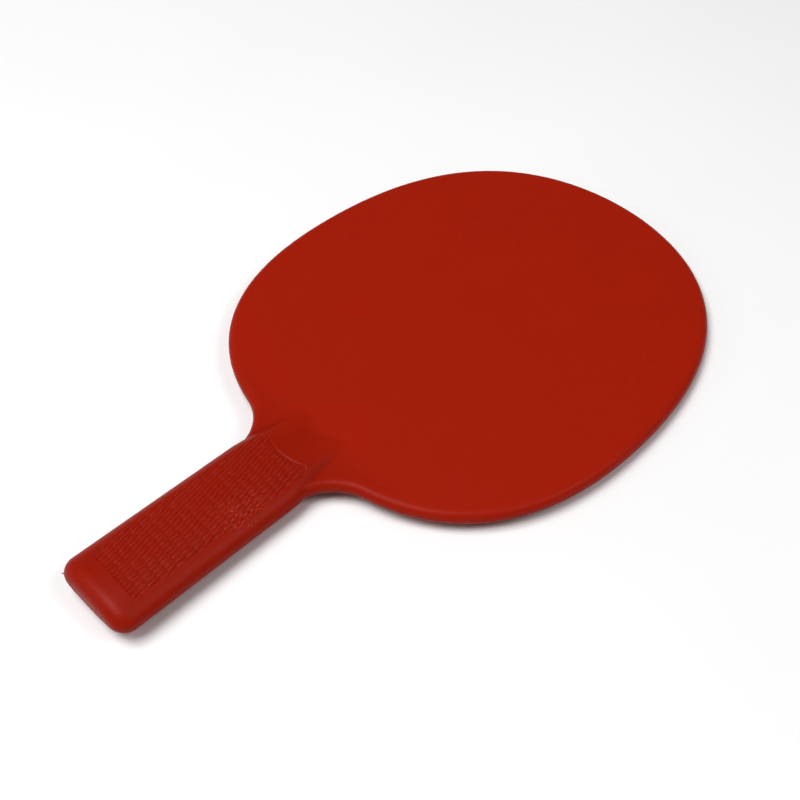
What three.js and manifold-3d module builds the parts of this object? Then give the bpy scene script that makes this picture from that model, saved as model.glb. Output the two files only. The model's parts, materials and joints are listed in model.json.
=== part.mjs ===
// Table-tennis bat moulded in one red plastic: two thin-walled halves, front and back, that are
// closed all round the edge by a weld seam at mid thickness. The handle is a thicker hollow block
// with crowned faces and a sunk grip panel on each, and a two-lobed ramp runs down to the blade.
//
// Millimetres. The bat is drawn with the butt end at x = 0, the blade tip at x = LENGTH, y across
// and the seam at z = 0. It is then laid on its back, with the handle's shoulder and the rim of
// the blade's tip on the ground, +Z up and the origin under the middle of its box.

import * as THREE from 'three';
import { mergeVertices } from 'three/addons/utils/BufferGeometryUtils.js';
import Module from 'manifold-3d';

const wasm = await Module();
wasm.setup();

// Driving dimensions of the blade
const LENGTH = 250;
const BLADE_WIDTH = 152.5;
const WIDEST_X = 157;
const BLADE_THICKNESS = 5.2;
const RIM_RADIUS = 2.5;
const TIP_FULLNESS = 24.5; // straight run of the outline at the tip, towards the side
const SIDE_RUN_TIP = 82; // straight run at the widest place, towards the tip
const SIDE_RUN_NECK = 59.5; // straight run at the widest place, towards the neck
const CHEEK = new THREE.Vector2(84.5, 28.0); // where the blade's curve meets the neck fillet
const CHEEK_RUN = 11.2;
const CHEEK_ANGLE = THREE.MathUtils.degToRad(75);
const NECK_RADIUS = 18.3;

// Driving dimensions of the handle
const BUTT_WIDTH = 32.4;
const WAIST_WIDTH = 31.3;
const WAIST_X = 66; // from here the sides curve in towards the throat
const THROAT_X = 88;
const THROAT_WIDTH = 24.8;
const HANDLE_THICKNESS = 12.3;
const CROWN_POWER = 2.2; // of the superellipse that the handle has for its section
const BUTT_CORNER = 5.8;
const BUTT_EDGE = 4.6;
const THROAT_CORNER = 3.0;
const ROOT_DEPTH = 4.0; // how far the root of the blade is buried in the handle's side

// Ramp between the handle's face and the blade, with a shallow valley along its middle
const RAMP_START = 78;
const RAMP_END = 94;
const VALLEY_END = 90.0;
const VALLEY_HALF_WIDTH = 8;

// Grip panel sunk into each face of the handle
const PANEL_START = 9.0;
const PANEL_END = 77.7;
const PANEL_WIDTH = 24.0;
const PANEL_CORNER = 3.0;
const PANEL_BOW = 2.5; // how far the end towards the blade curves back at its middle
const PANEL_DEPTH = 0.3;

// Walls and weld seam
const WALL = 1.5;
const SEAM_THICKNESS = 0.6;
const SEAM_PROUD = 0.15;
const GAP = 0.3; // clearance that separate solids keep where the real ones are fused
const TAG_LENGTH = 0.8; // trimmed flash left at one corner of the butt
const TAG_WIDTH = 0.7;
const TAG_TURN = THREE.MathUtils.degToRad(142);

// Fineness of the curves
const TIP_STEPS = 16;
const SIDE_STEPS = 12;
const FILLET_STEPS = 6;
const CORNER_STEPS = 4;
const RIM_STEPS = 4;
const END_STEPS = 5;
const BODY_STEPS = 9;
const SECTION_STEPS = 40;

const BLADE_HALF = BLADE_THICKNESS / 2;
const HANDLE_HALF = HANDLE_THICKNESS / 2;
const FAR = 300; // a length that reaches past the whole bat

const RED = 0x9d2210;

function solidOf(geometry) {
  const bare = geometry.clone();
  bare.deleteAttribute('normal');
  bare.deleteAttribute('uv');
  const merged = mergeVertices(bare, 1e-5);
  const vertProperties = new Float32Array(merged.attributes.position.array);
  const triVerts = new Uint32Array(merged.index.array);
  return new wasm.Manifold(new wasm.Mesh({ numProp: 3, vertProperties, triVerts }));
}

function geometryOf(solid) {
  const mesh = solid.getMesh();
  const geometry = new THREE.BufferGeometry();
  geometry.setAttribute('position', new THREE.BufferAttribute(mesh.vertProperties, 3));
  geometry.setIndex(new THREE.BufferAttribute(mesh.triVerts, 1));
  geometry.computeVertexNormals();
  return geometry;
}

// A slab over the outline, centred on z = 0, with its edges rounded
function roundedSlab(points, half, radius) {
  const geometry = new THREE.ExtrudeGeometry(new THREE.Shape(points), {
    depth: 2 * (half - radius),
    bevelThickness: radius,
    bevelSize: radius,
    bevelOffset: -radius,
    bevelSegments: RIM_STEPS,
  });
  geometry.translate(0, 0, radius - half);
  return solidOf(geometry);
}

function block(minX, maxX, minY, maxY, minZ, maxZ) {
  const box = new THREE.BoxGeometry(maxX - minX, maxY - minY, maxZ - minZ);
  box.translate((minX + maxX) / 2, (minY + maxY) / 2, (minZ + maxZ) / 2);
  return solidOf(box);
}

function mirrored(points) {
  const other = points.map((p) => new THREE.Vector2(p.x, -p.y));
  return other.reverse();
}

// Moves a smooth closed outline inwards, or outwards where the distance is negative
function insetOutline(points, distance) {
  const count = points.length;
  return points.map((point, i) => {
    const before = points[(i + count - 1) % count];
    const after = points[(i + 1) % count];
    const along = after.clone().sub(before).normalize();
    return new THREE.Vector2(point.x + along.y * distance, point.y - along.x * distance);
  });
}

// Upper half of the blade's outline, from the tip to the handle's side
function bladeHalfOutline() {
  const tip = new THREE.Vector2(LENGTH, 0);
  const side = new THREE.Vector2(WIDEST_X, BLADE_WIDTH / 2);
  const cheekHandle = new THREE.Vector2(Math.cos(CHEEK_ANGLE), Math.sin(CHEEK_ANGLE));
  cheekHandle.multiplyScalar(CHEEK_RUN).add(CHEEK);
  const tipCurve = new THREE.CubicBezierCurve(
    tip,
    new THREE.Vector2(LENGTH, TIP_FULLNESS),
    new THREE.Vector2(WIDEST_X + SIDE_RUN_TIP, side.y),
    side,
  );
  const sideCurve = new THREE.CubicBezierCurve(
    side,
    new THREE.Vector2(WIDEST_X - SIDE_RUN_NECK, side.y),
    cheekHandle,
    CHEEK,
  );
  // the fillet stands on the outer side of the cheek and ends level with the handle's side
  const centre = new THREE.Vector2(-Math.sin(CHEEK_ANGLE), Math.cos(CHEEK_ANGLE));
  centre.multiplyScalar(NECK_RADIUS).add(CHEEK);
  const fillet = [];
  const first = CHEEK_ANGLE - Math.PI / 2;
  const last = -Math.PI / 2;
  for (let i = 1; i <= FILLET_STEPS; i += 1) {
    const angle = first + ((last - first) * i) / FILLET_STEPS;
    fillet.push(
      new THREE.Vector2(
        centre.x + NECK_RADIUS * Math.cos(angle),
        centre.y + NECK_RADIUS * Math.sin(angle),
      ),
    );
  }
  return [...tipCurve.getPoints(TIP_STEPS), ...sideCurve.getPoints(SIDE_STEPS).slice(1), ...fillet];
}

// Blade with its neck fillets; its root is buried in the handle
function blade(inset) {
  const half = bladeHalfOutline();
  const fillet = half[half.length - 1];
  const root = new THREE.Vector2(fillet.x - NECK_RADIUS / 2, fillet.y - ROOT_DEPTH);
  const upper = [...half.slice(1), root];
  const outline = [half[0], ...upper, ...mirrored(upper)];
  const moved = insetOutline(outline, -inset);
  return roundedSlab(moved, BLADE_HALF - inset, Math.max(RIM_RADIUS - inset, GAP));
}

// Half width of the handle at mid thickness, leaving out the corners
function sideHalfWidth(x) {
  const straight = THREE.MathUtils.lerp(BUTT_WIDTH, WAIST_WIDTH, Math.min(x / WAIST_X, 1));
  const narrowed = THREE.MathUtils.smoothstep(x, WAIST_X, THROAT_X);
  return (straight - (WAIST_WIDTH - THROAT_WIDTH) * narrowed) / 2;
}

// What a quarter-round takes off the side at a distance from the end
function cornerLoss(distance, radius) {
  const left = Math.max(radius - distance, 0);
  return radius - Math.sqrt(radius ** 2 - left ** 2);
}

// Places along the handle, close together where the ends are rounded
function handleStations(first, buttRadius, last, throatRadius) {
  const places = [];
  for (let i = 0; i < END_STEPS; i += 1) {
    const angle = ((i / END_STEPS) * Math.PI) / 2;
    places.push(first + buttRadius * (1 - Math.cos(angle)));
  }
  const start = first + buttRadius;
  const end = last - throatRadius;
  for (let i = 0; i < BODY_STEPS; i += 1) {
    places.push(start + ((end - start) * i) / BODY_STEPS);
  }
  for (let i = 0; i <= END_STEPS; i += 1) {
    const angle = ((i / END_STEPS) * Math.PI) / 2;
    places.push(end + throatRadius * Math.sin(angle));
  }
  return places;
}

// Coordinate on a superellipse of unit size, from the cosine or sine of its angle
function crowned(value) {
  return Math.sign(value) * Math.abs(value) ** (2 / CROWN_POWER);
}

// Handle from the butt to the end of the ramp, before the ramps are cut
function handleBlock(inset) {
  const last = RAMP_END - inset;
  const buttCorner = BUTT_CORNER - inset;
  const throatCorner = THROAT_CORNER - inset;
  const stations = handleStations(inset, buttCorner, last, throatCorner);
  const rows = stations.length - 1;
  const geometry = new THREE.CylinderGeometry(1, 1, rows, SECTION_STEPS, rows);
  const position = geometry.attributes.position;
  for (let i = 0; i < position.count; i += 1) {
    const x = stations[Math.round(position.getY(i) + rows / 2)];
    const halfWidth =
      sideHalfWidth(x) - inset - cornerLoss(x - inset, buttCorner) - cornerLoss(last - x, throatCorner);
    const halfHeight = HANDLE_HALF - inset - cornerLoss(x - inset, BUTT_EDGE - inset);
    const across = halfWidth * crowned(position.getZ(i));
    const up = halfHeight * crowned(position.getX(i));
    position.setXYZ(i, x, across, up);
  }
  return solidOf(geometry);
}

// Everything above the front ramp: a flat slope and, sunk into it, the valley
function rampCutter(inset) {
  const drop = HANDLE_HALF - BLADE_HALF;
  const top = HANDLE_HALF - inset;
  const slope = Math.atan2(drop, RAMP_END - RAMP_START);
  const valleySlope = Math.atan2(drop, VALLEY_END - RAMP_START);
  const valleyDepth = (drop * (RAMP_END - RAMP_START)) / (VALLEY_END - RAMP_START) - drop;

  const above = new THREE.BoxGeometry(FAR, FAR, FAR);
  above.translate(FAR / 2, 0, FAR / 2);
  above.rotateY(slope);
  above.translate(RAMP_START, 0, top);

  const wing = FAR / 2;
  const rise = (valleyDepth / VALLEY_HALF_WIDTH) * wing;
  const section = new THREE.Shape([
    new THREE.Vector2(0, 0),
    new THREE.Vector2(wing, rise),
    new THREE.Vector2(wing, FAR),
    new THREE.Vector2(-wing, FAR),
    new THREE.Vector2(-wing, rise),
  ]);
  const valley = new THREE.ExtrudeGeometry(section, { depth: FAR, bevelEnabled: false });
  // the section lies in Y and Z, and is drawn out along X
  valley.rotateX(Math.PI / 2);
  valley.rotateZ(Math.PI / 2);
  valley.rotateY(valleySlope);
  valley.translate(RAMP_START, 0, top);
  return solidOf(above).add(solidOf(valley));
}

function turnedOver(solid) {
  return solid.rotate([180, 0, 0]);
}

function handle(inset) {
  const cutter = rampCutter(inset);
  return handleBlock(inset).subtract(cutter).subtract(turnedOver(cutter));
}

function body(inset) {
  return blade(inset).add(handle(inset));
}

// Plan of the grip panel, with rounded corners and a bowed end towards the blade
function panelShape() {
  const w = PANEL_WIDTH / 2;
  const r = PANEL_CORNER;
  const shape = new THREE.Shape();
  shape.moveTo(PANEL_START + r, -w);
  shape.lineTo(PANEL_END - r, -w);
  shape.quadraticCurveTo(PANEL_END, -w, PANEL_END, r - w);
  shape.quadraticCurveTo(PANEL_END - 2 * PANEL_BOW, 0, PANEL_END, w - r);
  shape.quadraticCurveTo(PANEL_END, w, PANEL_END - r, w);
  shape.lineTo(PANEL_START + r, w);
  shape.quadraticCurveTo(PANEL_START, w, PANEL_START, w - r);
  shape.lineTo(PANEL_START, r - w);
  shape.quadraticCurveTo(PANEL_START, -w, PANEL_START + r, -w);
  return shape;
}

function panelRecess() {
  const geometry = new THREE.ExtrudeGeometry(panelShape(), {
    depth: HANDLE_HALF,
    bevelEnabled: false,
    curveSegments: CORNER_STEPS * 2,
  });
  geometry.translate(0, 0, BLADE_HALF);
  return solidOf(geometry).subtract(handleBlock(PANEL_DEPTH));
}

// Front half: an open tray whose floor is the striking face
function frontShell(outside, hollow) {
  const edge = SEAM_THICKNESS / 2 + GAP;
  const upperSide = block(-FAR, FAR, -FAR, FAR, edge, FAR);
  return outside.intersect(upperSide).subtract(hollow).subtract(panelRecess());
}

// Seam: a thin ring round the whole edge, a little proud of the halves, with one flash tag
function weldSeam(hollow) {
  const half = SEAM_THICKNESS / 2;
  const slice = block(-FAR, FAR, -FAR, FAR, -half, half);
  const ring = body(-SEAM_PROUD).intersect(slice).subtract(hollow);
  const tag = new THREE.BoxGeometry(TAG_LENGTH * 2, TAG_WIDTH, SEAM_THICKNESS);
  tag.rotateZ(TAG_TURN);
  const cornerX = BUTT_CORNER * (1 + Math.cos(TAG_TURN));
  const cornerY = sideHalfWidth(0) - BUTT_CORNER * (1 - Math.sin(TAG_TURN));
  tag.translate(cornerX, cornerY, 0);
  return ring.add(solidOf(tag));
}

// Angle at which the bat lies, from the handle's shoulder to the rim of the blade's tip
function restAngle() {
  const reach = LENGTH - RIM_RADIUS - RAMP_START;
  const fall = HANDLE_HALF - (BLADE_HALF - RIM_RADIUS);
  return Math.atan2(fall, reach) - Math.asin(RIM_RADIUS / Math.hypot(reach, fall));
}

function namedMesh(name, geometry, roughness) {
  const material = new THREE.MeshStandardMaterial({ color: RED, roughness, metalness: 0 });
  const mesh = new THREE.Mesh(geometry, material);
  mesh.name = name;
  return mesh;
}

function makeBat() {
  const hollow = body(WALL);
  const shell = frontShell(body(0), hollow);
  const front = namedMesh('front_shell', geometryOf(shell), 0.42);
  const back = namedMesh('back_shell', geometryOf(shell), 0.42);
  back.rotation.x = Math.PI;
  const seam = namedMesh('weld_seam', geometryOf(weldSeam(hollow)), 0.5);

  const bat = new THREE.Group();
  bat.add(front, back, seam);
  bat.rotation.y = restAngle();
  const box = new THREE.Box3().setFromObject(bat, true);
  bat.position.set(-(box.min.x + box.max.x) / 2, 0, -box.min.z);

  const part = new THREE.Group();
  part.add(bat);
  return part;
}

export default makeBat();
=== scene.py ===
"""A red moulded table-tennis bat, lying on its back on a pale floor.

The bat is drawn in its own frame, in millimetres: butt end at x = 0, blade tip at x = LENGTH,
y across, weld seam at z = 0. LAY turns that frame into the row frame, in metres, so that the
pieces fall on the CAD solids.
"""

import json
import math

import bmesh
import bpy
import numpy as np
from mathutils import Matrix, Vector


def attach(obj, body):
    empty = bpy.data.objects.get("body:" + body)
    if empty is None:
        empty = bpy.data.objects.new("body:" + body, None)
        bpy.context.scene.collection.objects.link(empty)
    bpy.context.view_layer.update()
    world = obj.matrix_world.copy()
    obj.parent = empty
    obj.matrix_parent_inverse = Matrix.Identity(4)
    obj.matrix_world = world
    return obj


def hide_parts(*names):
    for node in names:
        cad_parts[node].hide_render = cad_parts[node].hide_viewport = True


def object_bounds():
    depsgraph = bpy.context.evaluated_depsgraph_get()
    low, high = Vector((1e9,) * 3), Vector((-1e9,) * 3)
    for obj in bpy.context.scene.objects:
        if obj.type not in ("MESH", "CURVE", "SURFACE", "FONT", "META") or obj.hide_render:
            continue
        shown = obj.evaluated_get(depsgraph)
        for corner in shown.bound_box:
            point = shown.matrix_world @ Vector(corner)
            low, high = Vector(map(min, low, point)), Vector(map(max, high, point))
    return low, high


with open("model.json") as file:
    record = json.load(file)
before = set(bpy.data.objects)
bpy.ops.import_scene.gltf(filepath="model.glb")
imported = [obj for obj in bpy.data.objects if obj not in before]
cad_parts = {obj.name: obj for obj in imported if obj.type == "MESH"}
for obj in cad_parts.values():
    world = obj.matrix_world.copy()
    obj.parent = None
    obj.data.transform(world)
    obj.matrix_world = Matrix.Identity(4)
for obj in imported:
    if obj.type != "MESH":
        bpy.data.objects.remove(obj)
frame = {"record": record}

CAD_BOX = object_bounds()
MM = 0.001

# ---------------------------------------------------------------- sizes, in millimetres

SEAM_PROUD = 0.15
FACE = next(m for m in frame["record"]["mounts"] if m["name"] == "front_face")
UP = Vector(FACE["axis"]).normalized()
LEAN = math.atan2(UP.x, UP.z)
LENGTH = (CAD_BOX[1][0] - CAD_BOX[0][0]) / MM / math.cos(LEAN) - 2 * SEAM_PROUD
WIDTH = (CAD_BOX[1][1] - CAD_BOX[0][1]) / MM - 2 * SEAM_PROUD

# Blade
BLADE_HALF = 2.6
RIM_RADIUS = 2.5
WIDEST_X = 157.0
TIP_FULLNESS = 24.5
SIDE_RUN_TIP = 82.0
SIDE_RUN_NECK = 59.5
CHEEK = np.array([84.5, 28.0])
CHEEK_RUN = 11.2
CHEEK_ANGLE = math.radians(75)
NECK_RADIUS = 18.3

# Handle and ramp
BUTT_WIDTH = 32.4
WAIST_WIDTH = 31.3
WAIST_X = 66.0
THROAT_X = 88.0
THROAT_WIDTH = 24.8
HANDLE_HALF = 6.115
CROWN_POWER = 2.2
BUTT_CORNER = 5.8
BUTT_EDGE = 4.6
THROAT_CORNER = 3.0
ROOT_DEPTH = 4.0
RAMP_START = 78.0
RAMP_END = 94.0
VALLEY_END = 90.0
VALLEY_HALF_WIDTH = 8.0
SHOULDER_BLEND = 1.8
FOOT_BLEND = 0.45
END_BLEND = 0.3

# Grip panel, with two interleaved sets of raised dashes
PANEL_START = 9.0
PANEL_END = 77.7
PANEL_WIDTH = 24.0
PANEL_CORNER = 3.0
PANEL_BOW = 2.5
PANEL_DEPTH = 0.38
PANEL_STEP = 0.6  # width of the panel's sloping border at the throat
PANEL_SIDE_STEP = 1.5
PANEL_BUTT_STEP = 1.1
COLUMN_PITCH = 7.0
ROW_PITCH = 1.53
DASH_HALF_LENGTH = 2.1
DASH_HALF_WIDTH = 0.58
DASH_HEIGHT = 0.31
DASH_LEAN = 0.11
DASH_POWER = 0.8  # under 1 makes the dashes fuller than a parabola
DASH_EDGE = (0.3, 0.9)  # the dashes rise over this distance inside the border

# Colours and the plastic's surface, with the places and strengths of their changes
# Pale spots on the dashes: worn by rubbing, with painted glints as well.
GLINT_RUB = (52.0, -8.0)
GLINT_RUB_REACH = (3.0, 11.0)
GLINT_RUB_WIDENING = 1.4  # the patch is this much shorter across the handle than along it
GLINT_RUB_STRENGTH = 0.5
SCRATCH_STRENGTH = 0.05
HANDLE_DEPTH = 0.22  # how much deeper the colour is on the handle
VALLEY_SHADE = 0.6  # how much darker it is between the dashes
PLASTIC_RED = (0.32, 0.0096, 0.0010, 1)
PLASTIC_PALE = (0.6, 0.12, 0.08, 1)
PLASTIC_ROUGHNESS = 0.44
FLASH_RED = (0.33, 0.0140, 0.0035, 1)
FLASH_PALE = (0.6, 0.15, 0.1, 1)
FLASH_ROUGHNESS = 0.6
SPECULAR_LEVEL = 0.08
PLASTIC_IOR = 1.5
BUMP_DISTANCE = 0.00003  # metres

# Walls and seam
WALL = 1.5
SEAM_HALF = 0.16
BEAD_STEP = 0.6
BEAD_PROUD = 0.035
BEAD_UNEVEN = 0.012
BEAD_NEAR_THROAT = 0.08
BEAD_SECTION = (
    (-0.8, -0.15), (0, -0.15), (0.75, -0.09), (1, 0.0), (0.75, 0.09), (0, 0.15), (-0.8, 0.15),
)  # out of the edge, where positive as a share of how proud the bead is, and height
TAG_LENGTH = 0.75
TAG_WIDTH = 0.55
TAG_TURN = math.radians(142)
NEAR_CRUMBS = ((63.8, 0.5, 1.9), (68.1, 0.3, 1.3), (72.1, 0.35, 1.5))  # place, length and width
CRUMB_HALF = 0.13
CRUMB_SIDES = 8
CRUMB_RAGGED = 0.15
CRUMB_SECTIONS = (
    (-0.6, 1, 0), (0.2, 1, 0), (0.5, 0.8, 0.02), (0.85, 0.55, 0.05), (1, 0.2, 0.06),
)  # share of the length, share of the size, and lift

# Mesh fineness
GRAIN = 0.82
HOLLOW_GRAIN = 1.6
PANEL_CUTS = 3
PANEL_MARGIN = 1.0
SETTLE_ROUNDS = 4
CHUNK = 4000  # points looked at together, to keep the arrays small
TINY = 1e-12
SLOPE_STEP = 0.02
LEAST_HALF = 0.4  # least half size of a hollow's sections
LEAST_ROOF = 0.3
LEAST_RIM = 0.3
END_CLEARANCE = 0.02

# Light and camera, in metres, with the camera's own distances in millimetres
FLOOR_HALF = 3
WORLD_STRENGTH = 0.13
CAMERA_AZIMUTH = math.radians(-44.42)
CAMERA_ELEVATION = math.radians(49.1)
CAMERA_DISTANCE = 424.35
CAMERA_TARGET = (121.02, -7.41, 0)
SENSOR_WIDTH = 36
LENS = 57.06


def lay_matrix():
    """The bat's own frame, in millimetres, to the row frame, in metres."""
    along = Vector((math.cos(LEAN), 0, -math.sin(LEAN)))
    on_seam = Vector(FACE["pos_m"]) - UP * BLADE_HALF * MM
    butt_x = CAD_BOX[0][0] + SEAM_PROUD * MM
    origin = on_seam - along * ((on_seam.x - butt_x) / along.x)
    return Matrix.Translation(origin) @ Matrix.Rotation(LEAN, 4, "Y") @ Matrix.Scale(MM, 4)


LAY = lay_matrix()


# ---------------------------------------------------------------- outlines


def bezier(a, b, c, d, steps):
    t = np.linspace(0, 1, steps + 1)[:, None]
    s = 1 - t
    return s**3 * a + 3 * s * s * t * b + 3 * s * t * t * c + t**3 * d


def arc(centre, radius, first, last, steps):
    angle = np.linspace(first, last, steps + 1)
    return np.array(centre) + radius * np.c_[np.cos(angle), np.sin(angle)]


def with_mirror(upper):
    """Closed outline from its upper half, which runs from the tip towards the butt."""
    lower = upper[::-1] * [1, -1]
    return np.vstack([upper, lower])


def blade_outline():
    """Blade and neck fillets; the root is buried in the handle."""
    tip = np.array([LENGTH, 0.0])
    side = np.array([WIDEST_X, WIDTH / 2])
    heading = np.array([math.cos(CHEEK_ANGLE), math.sin(CHEEK_ANGLE)])
    tip_curve = bezier(
        tip, tip + [0, TIP_FULLNESS], side + [SIDE_RUN_TIP, 0], side, 60
    )
    side_curve = bezier(
        side, side - [SIDE_RUN_NECK, 0], CHEEK + heading * CHEEK_RUN, CHEEK, 48
    )
    centre = CHEEK + NECK_RADIUS * np.array([-heading[1], heading[0]])
    fillet = arc(centre, NECK_RADIUS, CHEEK_ANGLE - math.pi / 2, -math.pi / 2, 20)
    root = fillet[-1] - [NECK_RADIUS / 2, ROOT_DEPTH]
    return with_mirror(np.vstack([tip_curve[1:], side_curve[1:], fillet[1:], root]))


def corner_loss(distance, radius):
    """What a quarter-round takes off the side at a distance from the end."""
    left = np.maximum(radius - distance, 0)
    return radius - np.sqrt(radius**2 - left**2)


def handle_section(x):
    """Half width and half thickness of the handle at a distance from the butt."""
    straight = BUTT_WIDTH + (WAIST_WIDTH - BUTT_WIDTH) * np.minimum(x / WAIST_X, 1)
    narrowed = smooth_step(WAIST_X, THROAT_X, x)
    side = (straight - (WAIST_WIDTH - THROAT_WIDTH) * narrowed) / 2
    corners = corner_loss(x, BUTT_CORNER) + corner_loss(RAMP_END - x, THROAT_CORNER)
    return side - corners, HANDLE_HALF - corner_loss(x, BUTT_EDGE)


def panel_outline():
    half = PANEL_WIDTH / 2
    end_corner = arc(
        (PANEL_END - PANEL_CORNER, half - PANEL_CORNER), PANEL_CORNER, 0, math.pi / 2, 8
    )
    start_corner = arc(
        (PANEL_START + PANEL_CORNER, half - PANEL_CORNER),
        PANEL_CORNER, math.pi / 2, math.pi, 8,
    )
    across = np.linspace(0, half - PANEL_CORNER, 8)[:-1]
    bow = PANEL_BOW * (1 - (across / (half - PANEL_CORNER)) ** 2)
    end = np.c_[PANEL_END - bow, across]
    return with_mirror(np.vstack([end[1:], end_corner, start_corner]))


def inside_distance(xy, outline):
    """How far each point lies inside a closed outline; negative outside."""
    result = np.empty(len(xy))
    start = outline
    run = np.roll(outline, -1, axis=0) - start
    length_sq = np.maximum((run**2).sum(1), TINY)
    for at in range(0, len(xy), CHUNK):
        part = xy[at : at + CHUNK]
        dx = part[:, :1] - start[:, 0]
        dy = part[:, 1:] - start[:, 1]
        t = np.clip((dx * run[:, 0] + dy * run[:, 1]) / length_sq, 0, 1)
        gap = np.hypot(dx - t * run[:, 0], dy - t * run[:, 1]).min(1)
        next_dy = dy - run[:, 1]
        crosses = (dy < 0) != (next_dy < 0)
        rise = np.where(run[:, 1] == 0, TINY, run[:, 1])
        beyond = dx - dy / rise * run[:, 0] < 0
        odd = (crosses & beyond).sum(1) % 2 == 1
        result[at : at + CHUNK] = np.where(odd, gap, -gap)
    return result


BLADE = blade_outline()
PANEL = panel_outline()


# ---------------------------------------------------------------- the moulding as a distance field


def smooth_min(a, b, blend):
    h = np.clip(0.5 + 0.5 * (b - a) / blend, 0, 1)
    return b * (1 - h) + a * h - blend * h * (1 - h)


def smooth_max(a, b, blend):
    return -smooth_min(-a, -b, blend)


def smooth_step(low, high, value):
    t = np.clip((value - low) / (high - low), 0, 1)
    return t * t * (3 - 2 * t)


def rounded_slab(inside, z, half, radius):
    a = radius - inside
    b = np.abs(z) - (half - radius)
    outer = np.hypot(np.maximum(a, 0), np.maximum(b, 0))
    return outer + np.minimum(np.maximum(a, b), 0) - radius


def handle_distance(x, y, z):
    """Distance outside the handle before its ramps are cut: superellipse sections along x."""
    x_in = np.clip(x, 2 * SLOPE_STEP, RAMP_END - 2 * SLOPE_STEP)
    wide, tall = handle_section(x_in)
    ahead = handle_section(x_in + SLOPE_STEP)
    behind = handle_section(x_in - SLOPE_STEP)
    wide_slope = (ahead[0] - behind[0]) / (2 * SLOPE_STEP)
    tall_slope = (ahead[1] - behind[1]) / (2 * SLOPE_STEP)
    across = np.abs(y) / wide
    up = np.abs(z) / tall
    size = np.maximum((across**CROWN_POWER + up**CROWN_POWER) ** (1 / CROWN_POWER), 1e-6)
    pull_y = (across / size) ** (CROWN_POWER - 1) / wide
    pull_z = (up / size) ** (CROWN_POWER - 1) / tall
    pull_x = pull_y * across * wide_slope + pull_z * up * tall_slope
    side = (size - 1) / np.sqrt(pull_x**2 + pull_y**2 + pull_z**2)
    return smooth_max(side, np.maximum(-x, x - RAMP_END), END_BLEND)


def ramp_height(x, y):
    """Height of the two-lobed ramp: a flat slope with a shallow valley along its middle."""
    drop = HANDLE_HALF - BLADE_HALF
    run = x - RAMP_START
    slope = drop / (RAMP_END - RAMP_START)
    deepening = drop / (VALLEY_END - RAMP_START) - slope
    across = 0.5 + 0.5 * np.cos(np.pi * np.minimum(np.abs(y) / VALLEY_HALF_WIDTH, 1))
    return HANDLE_HALF - run * slope - np.maximum(run, 0) * deepening * across


def body_distance(p):
    """Distance outside the plain moulding, without grip panel or dashes."""
    x, y, z = p.T
    blade = rounded_slab(inside_distance(p[:, :2], BLADE), z, BLADE_HALF, RIM_RADIUS)
    block = handle_distance(x, y, z)
    ramp = np.abs(z) - ramp_height(x, y)
    return smooth_min(blade, smooth_max(block, ramp, SHOULDER_BLEND), FOOT_BLEND)


def noise_of(cell_a, cell_b):
    """A fixed number from 0 to 1 for each pair of whole numbers."""
    wave = np.sin(cell_a * 127.1 + cell_b * 311.7) * 43758.5453
    return wave - np.floor(wave)


def dash_set(x, y, first_x, first_y):
    """Lens-shaped ridges on a grid of columns and rows, each a little off its place."""
    sway = 0.16 * np.sin(x * 0.42 + 1.1 * np.sin(y * 0.35)) + 0.07 * np.sin(x * 1.3 + y)
    column = np.round((x - first_x) / COLUMN_PITCH)
    row = np.round((y + sway - first_y) / ROW_PITCH)
    seed = first_x + 3.0
    shift = 0.6 * (noise_of(column + seed, row) - 0.5)
    rise = 0.22 * (noise_of(row, column + seed) - 0.5)
    along = x - first_x - column * COLUMN_PITCH - shift
    across = y + sway - first_y - row * ROW_PITCH - rise - DASH_LEAN * along
    long = DASH_HALF_LENGTH * (0.85 + 0.3 * noise_of(column - 5.0, row + seed))
    lens = (along / long) ** 2 + (across / DASH_HALF_WIDTH) ** 2
    tall = 0.75 + 0.45 * noise_of(row + 11.0, column + seed)
    return DASH_HEIGHT * tall * np.clip(1 - lens, 0, 1) ** DASH_POWER


def dash_height(x, y):
    """Raised grip dashes: the columns alternate, half a row apart."""
    first = dash_set(x, y, 0.0, 0.0)
    second = dash_set(x, y, COLUMN_PITCH / 2, ROW_PITCH / 2)
    return np.maximum(first, second)


def grip_relief(p):
    """How far the surface is sunk below the plain moulding by the grip panel."""
    x, y = p[:, 0], p[:, 1]
    inside = inside_distance(p[:, :2], PANEL)
    at_side = smooth_step(PANEL_WIDTH / 2 - 3, PANEL_WIDTH / 2 - 1.5, np.abs(y))
    at_end = PANEL_STEP + (PANEL_BUTT_STEP - PANEL_STEP) * (x < (PANEL_START + PANEL_END) / 2)
    step = at_end + (PANEL_SIDE_STEP - at_end) * at_side
    sunk = PANEL_DEPTH * smooth_step(0, step, inside)
    dashes = dash_height(x, y) * smooth_step(*DASH_EDGE, inside)
    return sunk - dashes


# ---------------------------------------------------------------- mesh work


def rings_into(bm, rings):
    """A closed solid through a row of rings that all have the same number of points."""
    rows = [[bm.verts.new(point) for point in ring] for ring in rings]
    bm.faces.new(rows[0][::-1])
    bm.faces.new(rows[-1])
    count = len(rows[0])
    for low, high in zip(rows, rows[1:]):
        for i in range(count):
            j = (i + 1) % count
            bm.faces.new((low[i], low[j], high[j], high[i]))


def moved_in(outline, distance):
    """A smooth closed outline moved inwards; it runs against the clock seen from +z."""
    along = np.roll(outline, -1, axis=0) - np.roll(outline, 1, axis=0)
    along /= np.hypot(along[:, 0], along[:, 1])[:, None]
    return outline + np.c_[-along[:, 1], along[:, 0]] * distance


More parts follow.
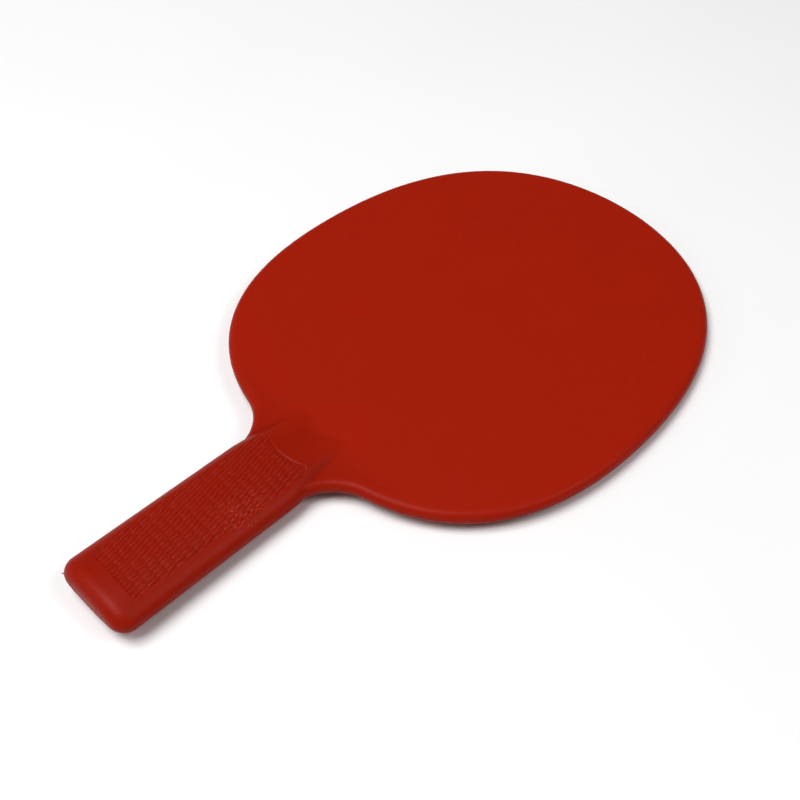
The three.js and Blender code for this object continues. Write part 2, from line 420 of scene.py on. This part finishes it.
def blade_rings(depth):
    radius = max(RIM_RADIUS - depth, LEAST_RIM)
    flat = BLADE_HALF - depth - radius
    rings = []
    for angle in np.radians(np.linspace(-80, 80, 9)):
        outline = moved_in(BLADE, depth + radius * (1 - math.cos(angle)))
        height = math.copysign(flat, angle) + radius * math.sin(angle)
        rings.append(np.c_[outline, np.full(len(outline), height)])
    return rings


def handle_rings(depth):
    """Sections of the handle, already lowered to the ramps."""
    rounding = BUTT_CORNER * (1 - np.cos(np.linspace(0, math.pi / 2, 9)))
    body = np.linspace(BUTT_CORNER, RAMP_END - THROAT_CORNER, 40)[1:]
    throat = RAMP_END - THROAT_CORNER * (1 - np.sin(np.linspace(0, math.pi / 2, 7)))[1:]
    angle = np.linspace(0, 2 * math.pi, 60, endpoint=False)
    first = depth + END_CLEARANCE
    last = RAMP_END - depth - END_CLEARANCE
    rings = []
    for x in np.clip(np.r_[rounding, body, throat], first, last):
        wide, tall = handle_section(np.array([x]))
        unit_y = np.sign(np.cos(angle)) * np.abs(np.cos(angle)) ** (2 / CROWN_POWER)
        unit_z = np.sign(np.sin(angle)) * np.abs(np.sin(angle)) ** (2 / CROWN_POWER)
        y = unit_y * np.maximum(wide - depth, LEAST_HALF)
        z = unit_z * np.maximum(tall - depth, LEAST_HALF)
        roof = np.maximum(ramp_height(x, y) - depth, LEAST_ROOF)
        z = np.clip(z, -roof, roof)
        rings.append(np.c_[np.full(len(y), x), y, z])
    return rings


def remeshed(bm, voxel):
    """The bmesh as evenly sized quads over the outside of all its solids."""
    mesh = bpy.data.meshes.new("start")
    bm.to_mesh(mesh)
    bm.free()
    holder = bpy.data.objects.new("start", mesh)
    bpy.context.scene.collection.objects.link(holder)
    modifier = holder.modifiers.new("even", "REMESH")
    modifier.mode = "VOXEL"
    modifier.voxel_size = voxel
    graph = bpy.context.evaluated_depsgraph_get()
    even = bmesh.new()
    even.from_object(holder, graph)
    bpy.data.objects.remove(holder)
    bpy.data.meshes.remove(mesh)
    return even


def places(bm):
    return np.array([v.co for v in bm.verts])


def settle(bm, depth):
    """Moves each vertex along its normal until it lies depth below the plain moulding."""
    p = places(bm)
    bm.normal_update()
    n = np.array([v.normal for v in bm.verts])
    for _ in range(SETTLE_ROUNDS):
        p -= n * (body_distance(p) + depth)[:, None]
    for vert, co in zip(bm.verts, p):
        vert.co = co


def starting_solid(depth, voxel):
    bm = bmesh.new()
    rings_into(bm, blade_rings(depth))
    rings_into(bm, handle_rings(depth))
    bmesh.ops.recalc_face_normals(bm, faces=bm.faces[:])
    return remeshed(bm, voxel)


def keep_above(bm, height):
    everything = bm.verts[:] + bm.edges[:] + bm.faces[:]
    bmesh.ops.bisect_plane(
        bm, geom=everything, dist=1e-4,
        plane_co=(0, 0, height), plane_no=(0, 0, 1), clear_inner=True,
    )


def refine_panel(bm):
    """Cuts the faces round the grip panel finely and sinks the panel with its dashes."""
    edges = set()
    for face in bm.faces:
        centre = face.calc_center_median()
        over = PANEL_START - PANEL_MARGIN < centre.x < PANEL_END + PANEL_MARGIN
        beside = abs(centre.y) < PANEL_WIDTH / 2 + PANEL_MARGIN
        if over and beside and face.normal.z > 0.3:
            edges.update(face.edges)
    bmesh.ops.subdivide_edges(bm, edges=list(edges), cuts=PANEL_CUTS, use_grid_fill=True)
    bm.normal_update()
    p = places(bm)
    near = (p[:, 2] > BLADE_HALF) & (p[:, 0] < PANEL_END + 3)
    chosen = np.nonzero(near)[0]
    q = p[chosen]
    for _ in range(SETTLE_ROUNDS):
        q[:, 2] -= body_distance(q)
    q[:, 2] -= grip_relief(q)
    bm.verts.ensure_lookup_table()
    for index, co in zip(chosen, q):
        bm.verts[index].co = co


def boundary_edges(bm):
    return [e for e in bm.edges if e.is_boundary]


def edge_outline(bm):
    """The points of the one open edge, in order, as seen from above."""
    first = boundary_edges(bm)[0]
    before, vert = first.verts
    start, points = before, [before.co.xy]
    while vert is not start:
        points.append(vert.co.xy)
        onward = (e.other_vert(vert) for e in vert.link_edges if e.is_boundary)
        before, vert = vert, next(v for v in onward if v is not before)
    outline = np.array(points)
    turn = outline[:, 0] * np.roll(outline[:, 1], -1) - outline[:, 1] * np.roll(outline[:, 0], -1)
    return outline if turn.sum() > 0 else outline[::-1]


def evenly_spaced(outline, spacing):
    """A closed outline with its points set out again at an even spacing."""
    closed = np.vstack([outline, outline[:1]])
    run = np.r_[0, np.cumsum(np.hypot(*np.diff(closed, axis=0).T))]
    places_along = np.linspace(0, run[-1], int(run[-1] / spacing), endpoint=False)
    even = np.c_[
        np.interp(places_along, run, closed[:, 0]), np.interp(places_along, run, closed[:, 1])
    ]
    for _ in range(2):
        even = (np.roll(even, 1, axis=0) + 2 * even + np.roll(even, -1, axis=0)) / 4
    return even


def shell_mesh():
    """One half of the moulding: outside, inside and the flat edge that is welded."""
    outer = starting_solid(0, GRAIN)
    settle(outer, 0)
    keep_above(outer, SEAM_HALF)
    outline = edge_outline(outer)
    refine_panel(outer)

    inner = starting_solid(WALL, HOLLOW_GRAIN)
    settle(inner, WALL)
    keep_above(inner, SEAM_HALF)
    bmesh.ops.reverse_faces(inner, faces=inner.faces[:])
    hollow = bpy.data.meshes.new("hollow")
    inner.to_mesh(hollow)
    inner.free()
    outer.from_mesh(hollow)
    bpy.data.meshes.remove(hollow)

    bmesh.ops.triangle_fill(outer, edges=boundary_edges(outer), use_beauty=True)
    bmesh.ops.recalc_face_normals(outer, faces=outer.faces[:])
    return outer, outline


def seam_mesh(outline):
    """The trimmed weld flash: an uneven bead all round the edge, one tag and some crumbs."""
    bm = bmesh.new()
    ring = evenly_spaced(outline, BEAD_STEP)
    count = len(ring)
    away = moved_in(ring, -1.0) - ring
    turn = np.arange(count) * 2 * math.pi / count
    uneven = np.sin(turn * 37 + 2 * np.sin(turn * 11)) + np.sin(turn * 83 + 3 * np.sin(turn * 5))
    near_throat = (ring[:, 1] < 0) & (ring[:, 0] > 58) & (ring[:, 0] < 70)
    proud = BEAD_PROUD + BEAD_UNEVEN * uneven + BEAD_NEAR_THROAT * near_throat
    rows = []
    for out, height in BEAD_SECTION:
        reach = out * proud if out > 0 else np.full(count, out)
        points = ring + away * reach[:, None]
        rows.append([bm.verts.new((x, y, height)) for x, y in points])
    for low, high in zip(rows, rows[1:] + rows[:1]):
        for i in range(count):
            j = (i + 1) % count
            bm.faces.new((low[i], low[j], high[j], high[i]))
    corner = np.array([BUTT_CORNER, BUTT_WIDTH / 2 - BUTT_CORNER])
    turned = np.array([math.cos(TAG_TURN), math.sin(TAG_TURN)])
    crumb_into(bm, corner + BUTT_CORNER * turned, turned, TAG_LENGTH, TAG_WIDTH)
    for x, length, width in NEAR_CRUMBS:
        side = handle_section(np.array([x]))[0][0]
        crumb_into(bm, np.array([x, -side]), np.array([0.0, -1.0]), length, width)
    bmesh.ops.recalc_face_normals(bm, faces=bm.faces[:])
    return bm


def crumb_into(bm, root, out, length, width):
    """A crumb of flash left standing on the edge, torn to a ragged end."""
    side = np.array([out[1], -out[0]])
    rings = []
    for reach, size, lift in CRUMB_SECTIONS:
        ring = []
        for i in range(CRUMB_SIDES):
            angle = i * 2 * math.pi / CRUMB_SIDES
            wide = math.cos(angle) * width / 2 * size * (1 + CRUMB_RAGGED * (i % 3 - 1))
            tall = math.sin(angle) * CRUMB_HALF * size + lift
            place = root + out * reach * length + side * wide
            ring.append((place[0], place[1], tall))
        rings.append(ring)
    rings_into(bm, rings)


def piece_from(bm, name, matrix, node, material):
    """Puts the bmesh into the scene as a named piece that stands for a CAD node."""
    mesh = bpy.data.meshes.new(name)
    bm.to_mesh(mesh)
    mesh.transform(matrix)
    mesh.update()
    mesh.shade_smooth()
    mesh.materials.append(material)
    piece = bpy.data.objects.new(name, mesh)
    bpy.context.scene.collection.objects.link(piece)
    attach(piece, "root")
    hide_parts(node)
    return piece


# ---------------------------------------------------------------- materials


class Nodes:
    """Short ways to add and join shader nodes."""

    def __init__(self, name):
        self.material = bpy.data.materials.new(name)
        self.material.use_nodes = True
        self.tree = self.material.node_tree
        self.shader = self.tree.nodes["Principled BSDF"]

    def add(self, kind, **values):
        node = self.tree.nodes.new(kind)
        for key, value in values.items():
            if key in node.inputs:
                node.inputs[key].default_value = value
            else:
                setattr(node, key, value)
        return node

    def link(self, source, target):
        self.tree.links.new(source, target)

    def noise(self, vector, scale, detail=2.0, roughness=0.5):
        node = self.add("ShaderNodeTexNoise", Scale=scale, Detail=detail, Roughness=roughness)
        self.link(vector, node.inputs["Vector"])
        return node.outputs["Fac"]

    def ramp(self, value, low, high, first, last):
        node = self.add("ShaderNodeMapRange")
        sockets = ("From Min", "From Max", "To Min", "To Max")
        for key, number in zip(sockets, (low, high, first, last)):
            node.inputs[key].default_value = number
        self.link(value, node.inputs["Value"])
        return node.outputs["Result"]

    def math(self, operation, a, b):
        node = self.add("ShaderNodeMath", operation=operation)
        for socket, value in zip(node.inputs, (a, b)):
            if isinstance(value, (int, float)):
                socket.default_value = value
            else:
                self.link(value, socket)
        return node.outputs[0]

    def mix(self, factor, a, b):
        node = self.add("ShaderNodeMix", data_type="RGBA")
        self.link(factor, node.inputs["Factor"])
        for socket, value in zip((node.inputs[6], node.inputs[7]), (a, b)):
            if isinstance(value, tuple):
                socket.default_value = value
            else:
                self.link(value, socket)
        return node.outputs[2]


def scaled(colour, factor):
    return tuple(part * factor for part in colour[:3]) + (1,)


def bat_millimetres(n):
    """The shading point in the bat's own frame, in millimetres."""
    turn = n.add("ShaderNodeMapping", vector_type="TEXTURE")
    turn.inputs["Location"].default_value = LAY.translation
    turn.inputs["Rotation"].default_value = (0, LEAN, 0)
    turn.inputs["Scale"].default_value = (MM, MM, MM)
    n.link(n.add("ShaderNodeTexCoord").outputs["Object"], turn.inputs["Vector"])
    return turn.outputs["Vector"]


def stretched(n, vector, turn, scale):
    node = n.add("ShaderNodeMapping")
    node.inputs["Rotation"].default_value = (0, 0, turn)
    node.inputs["Scale"].default_value = scale
    n.link(vector, node.inputs["Vector"])
    return node.outputs["Vector"]


def scratches(n, where, turn, seed):
    """Thin faint lines in one direction, broken up along their length."""
    line = n.noise(stretched(n, where, turn, (0.02, 1.1, 0.02 + seed)), 1.0, 1.0)
    near = n.math("ABSOLUTE", n.math("SUBTRACT", line, 0.5), 0)
    thin = n.ramp(near, 0.0, 0.004, 1, 0)
    patch = n.ramp(n.noise(where, 0.03 + seed / 50, 1.0), 0.56, 0.66, 0, 1)
    return n.math("MULTIPLY", thin, patch)


def glinting_worn_dashes(n, where):
    """Pale spots on the dashes, thickest where the fingers close round the grip: worn by rubbing,
    and painted glints as well.
    """
    away = n.add("ShaderNodeVectorMath", operation="DISTANCE")
    n.link(stretched(n, where, 0, (1, GLINT_RUB_WIDENING, 0)), away.inputs[0])
    away.inputs[1].default_value = (GLINT_RUB[0], GLINT_RUB[1] * GLINT_RUB_WIDENING, 0)
    close = n.ramp(away.outputs["Value"], *GLINT_RUB_REACH, 1, 0)
    long_cells = n.noise(stretched(n, where, 0.05, (0.8, 2.0, 0.4)), 1.0, 1.0)
    spots = n.ramp(long_cells, 0.61, 0.67, 0, 1)
    return n.math("MULTIPLY", close, spots)


def red_plastic(name, base, pale, roughness):
    """Satin red plastic: mottled, deeper on the handle, darkened by painted shade in the hollows
    between the dashes, scratched, worn pale by rubbing and painted with glints.
    """
    n = Nodes(name)
    where = bat_millimetres(n)
    apart = n.add("ShaderNodeSeparateXYZ")
    n.link(where, apart.inputs[0])
    on_handle = n.ramp(apart.outputs["X"], PANEL_END - 2, RAMP_END, 1, 0)
    mottle = n.ramp(n.noise(where, 0.05, 4.0, 0.6), 0.3, 0.7, 0, 1)
    cloud = n.ramp(n.noise(where, 0.9, 3.0), 0.3, 0.7, 0, 1)
    colour = n.mix(mottle, base, scaled(base, 0.95))
    colour = n.mix(cloud, colour, scaled(base, 1.03))
    colour = n.mix(n.math("MULTIPLY", on_handle, HANDLE_DEPTH), colour, scaled(base, 0.5))
    # Painted shade: the handle's colour darkens where the surface is hollow, between the dashes.
    bend = n.add("ShaderNodeNewGeometry").outputs["Pointiness"]
    hollow = n.math("MULTIPLY", on_handle, n.ramp(bend, 0.45, 0.52, VALLEY_SHADE, 0))
    colour = n.mix(hollow, colour, scaled(base, 0.35))
    marks = n.math("ADD", scratches(n, where, 0.5, 0.3), scratches(n, where, 2.1, 0.7))
    # Pale spots on the dashes: worn by rubbing, with painted glints as well.
    glints_and_rubbing = n.math("MULTIPLY", glinting_worn_dashes(n, where), GLINT_RUB_STRENGTH)
    wear_and_glints = n.math("ADD", n.math("MULTIPLY", marks, SCRATCH_STRENGTH), glints_and_rubbing)
    n.link(n.mix(wear_and_glints, colour, pale), n.shader.inputs["Base Color"])

    polish = n.math("MULTIPLY", on_handle, -0.04)
    rough = n.math("ADD", n.ramp(cloud, 0, 1, roughness - 0.03, roughness + 0.03), polish)
    n.link(n.math("ADD", rough, n.math("MULTIPLY", marks, 0.1)), n.shader.inputs["Roughness"])

    pebble = n.add("ShaderNodeTexVoronoi", feature="SMOOTH_F1", Scale=1.5, Smoothness=0.7)
    n.link(where, pebble.inputs["Vector"])
    fine = n.noise(where, 3.5, 2.0)
    height = n.math("ADD", pebble.outputs["Distance"], n.math("MULTIPLY", fine, 0.4))
    height = n.math("SUBTRACT", height, n.math("MULTIPLY", marks, 0.5))
    depth = n.ramp(on_handle, 0, 1, 1, 0.45)
    bump = n.add("ShaderNodeBump", Strength=0.5, Distance=BUMP_DISTANCE)
    n.link(n.math("MULTIPLY", height, depth), bump.inputs["Height"])
    n.link(bump.outputs["Normal"], n.shader.inputs["Normal"])
    n.shader.inputs["Specular IOR Level"].default_value = SPECULAR_LEVEL
    n.shader.inputs["IOR"].default_value = PLASTIC_IOR
    return n.material


def floor_material():
    n = Nodes("pale_floor")
    where = n.add("ShaderNodeTexCoord").outputs["Object"]
    tone = n.ramp(n.noise(where, 6, 2.0), 0.3, 0.7, 0, 1)
    white = n.mix(tone, (0.93, 0.93, 0.93, 1), (0.9, 0.9, 0.9, 1))
    n.link(white, n.shader.inputs["Base Color"])
    n.shader.inputs["Roughness"].default_value = 0.8
    return n.material


# ---------------------------------------------------------------- the scene


def add_floor():
    bm = bmesh.new()
    bmesh.ops.create_grid(bm, x_segments=8, y_segments=8, size=FLOOR_HALF)
    mesh = bpy.data.meshes.new("floor")
    bm.to_mesh(mesh)
    bm.free()
    mesh.materials.append(floor_material())
    floor = bpy.data.objects.new("floor", mesh)
    floor.location.z = CAD_BOX[0][2]
    bpy.context.scene.collection.objects.link(floor)


def area_light(name, place, size, power):
    """A square light that faces the row frame's origin."""
    light = bpy.data.lights.new(name, "AREA")
    light.shape = "SQUARE"
    light.size = size
    light.energy = power
    obj = bpy.data.objects.new(name, light)
    bpy.context.scene.collection.objects.link(obj)
    obj.location = place
    obj.rotation_euler = (-Vector(place)).to_track_quat("-Z", "Y").to_euler()


def add_lights():
    area_light("top_box", (-0.45, 0.22, 1.3), 0.85, 18.5)
    area_light("right_box", (0.41, -0.78, 1.09), 0.5, 4)
    area_light("left_box", (-1.06, 0.66, 0.64), 0.4, 1.2)
    world = bpy.data.worlds.new("studio")
    world.use_nodes = True
    world.node_tree.nodes["Background"].inputs["Color"].default_value = (1, 1, 1, 1)
    world.node_tree.nodes["Background"].inputs["Strength"].default_value = WORLD_STRENGTH
    bpy.context.scene.world = world
    bpy.context.scene.view_settings.view_transform = "Standard"


def add_camera():
    """Seen from the butt's near side, at about 49 degrees above the blade."""
    level = math.cos(CAMERA_ELEVATION)
    back = Vector((
        math.sin(CAMERA_AZIMUTH) * level,
        -math.cos(CAMERA_AZIMUTH) * level,
        math.sin(CAMERA_ELEVATION),
    ))
    side = Vector((0, 0, 1)).cross(back).normalized()
    top = back.cross(side)
    turn = Matrix((side, top, back)).transposed().to_4x4()
    camera = bpy.data.cameras.new("camera")
    camera.sensor_width = SENSOR_WIDTH
    camera.lens = LENS
    camera.clip_start = 0.01
    obj = bpy.data.objects.new("camera", camera)
    bpy.context.scene.collection.objects.link(obj)
    place = Vector(CAMERA_TARGET) + back * CAMERA_DISTANCE
    lean = Matrix.Rotation(LEAN, 4, "Y")
    obj.matrix_world = Matrix.Translation(LAY @ place) @ lean @ turn
    bpy.context.scene.camera = obj


def make_bat():
    plastic = red_plastic("red_polyethylene", PLASTIC_RED, PLASTIC_PALE, PLASTIC_ROUGHNESS)
    flash = red_plastic("trimmed_flash", FLASH_RED, FLASH_PALE, FLASH_ROUGHNESS)
    bm, outline = shell_mesh()
    turned = LAY @ Matrix.Rotation(math.pi, 4, "X")
    piece_from(bm, "front_skin", LAY, "front_shell", plastic)
    piece_from(bm, "back_skin", turned, "back_shell", plastic)
    bm.free()
    bm = seam_mesh(outline)
    piece_from(bm, "seam_flash", LAY, "weld_seam", flash)
    bm.free()


make_bat()
add_floor()
add_lights()
add_camera()
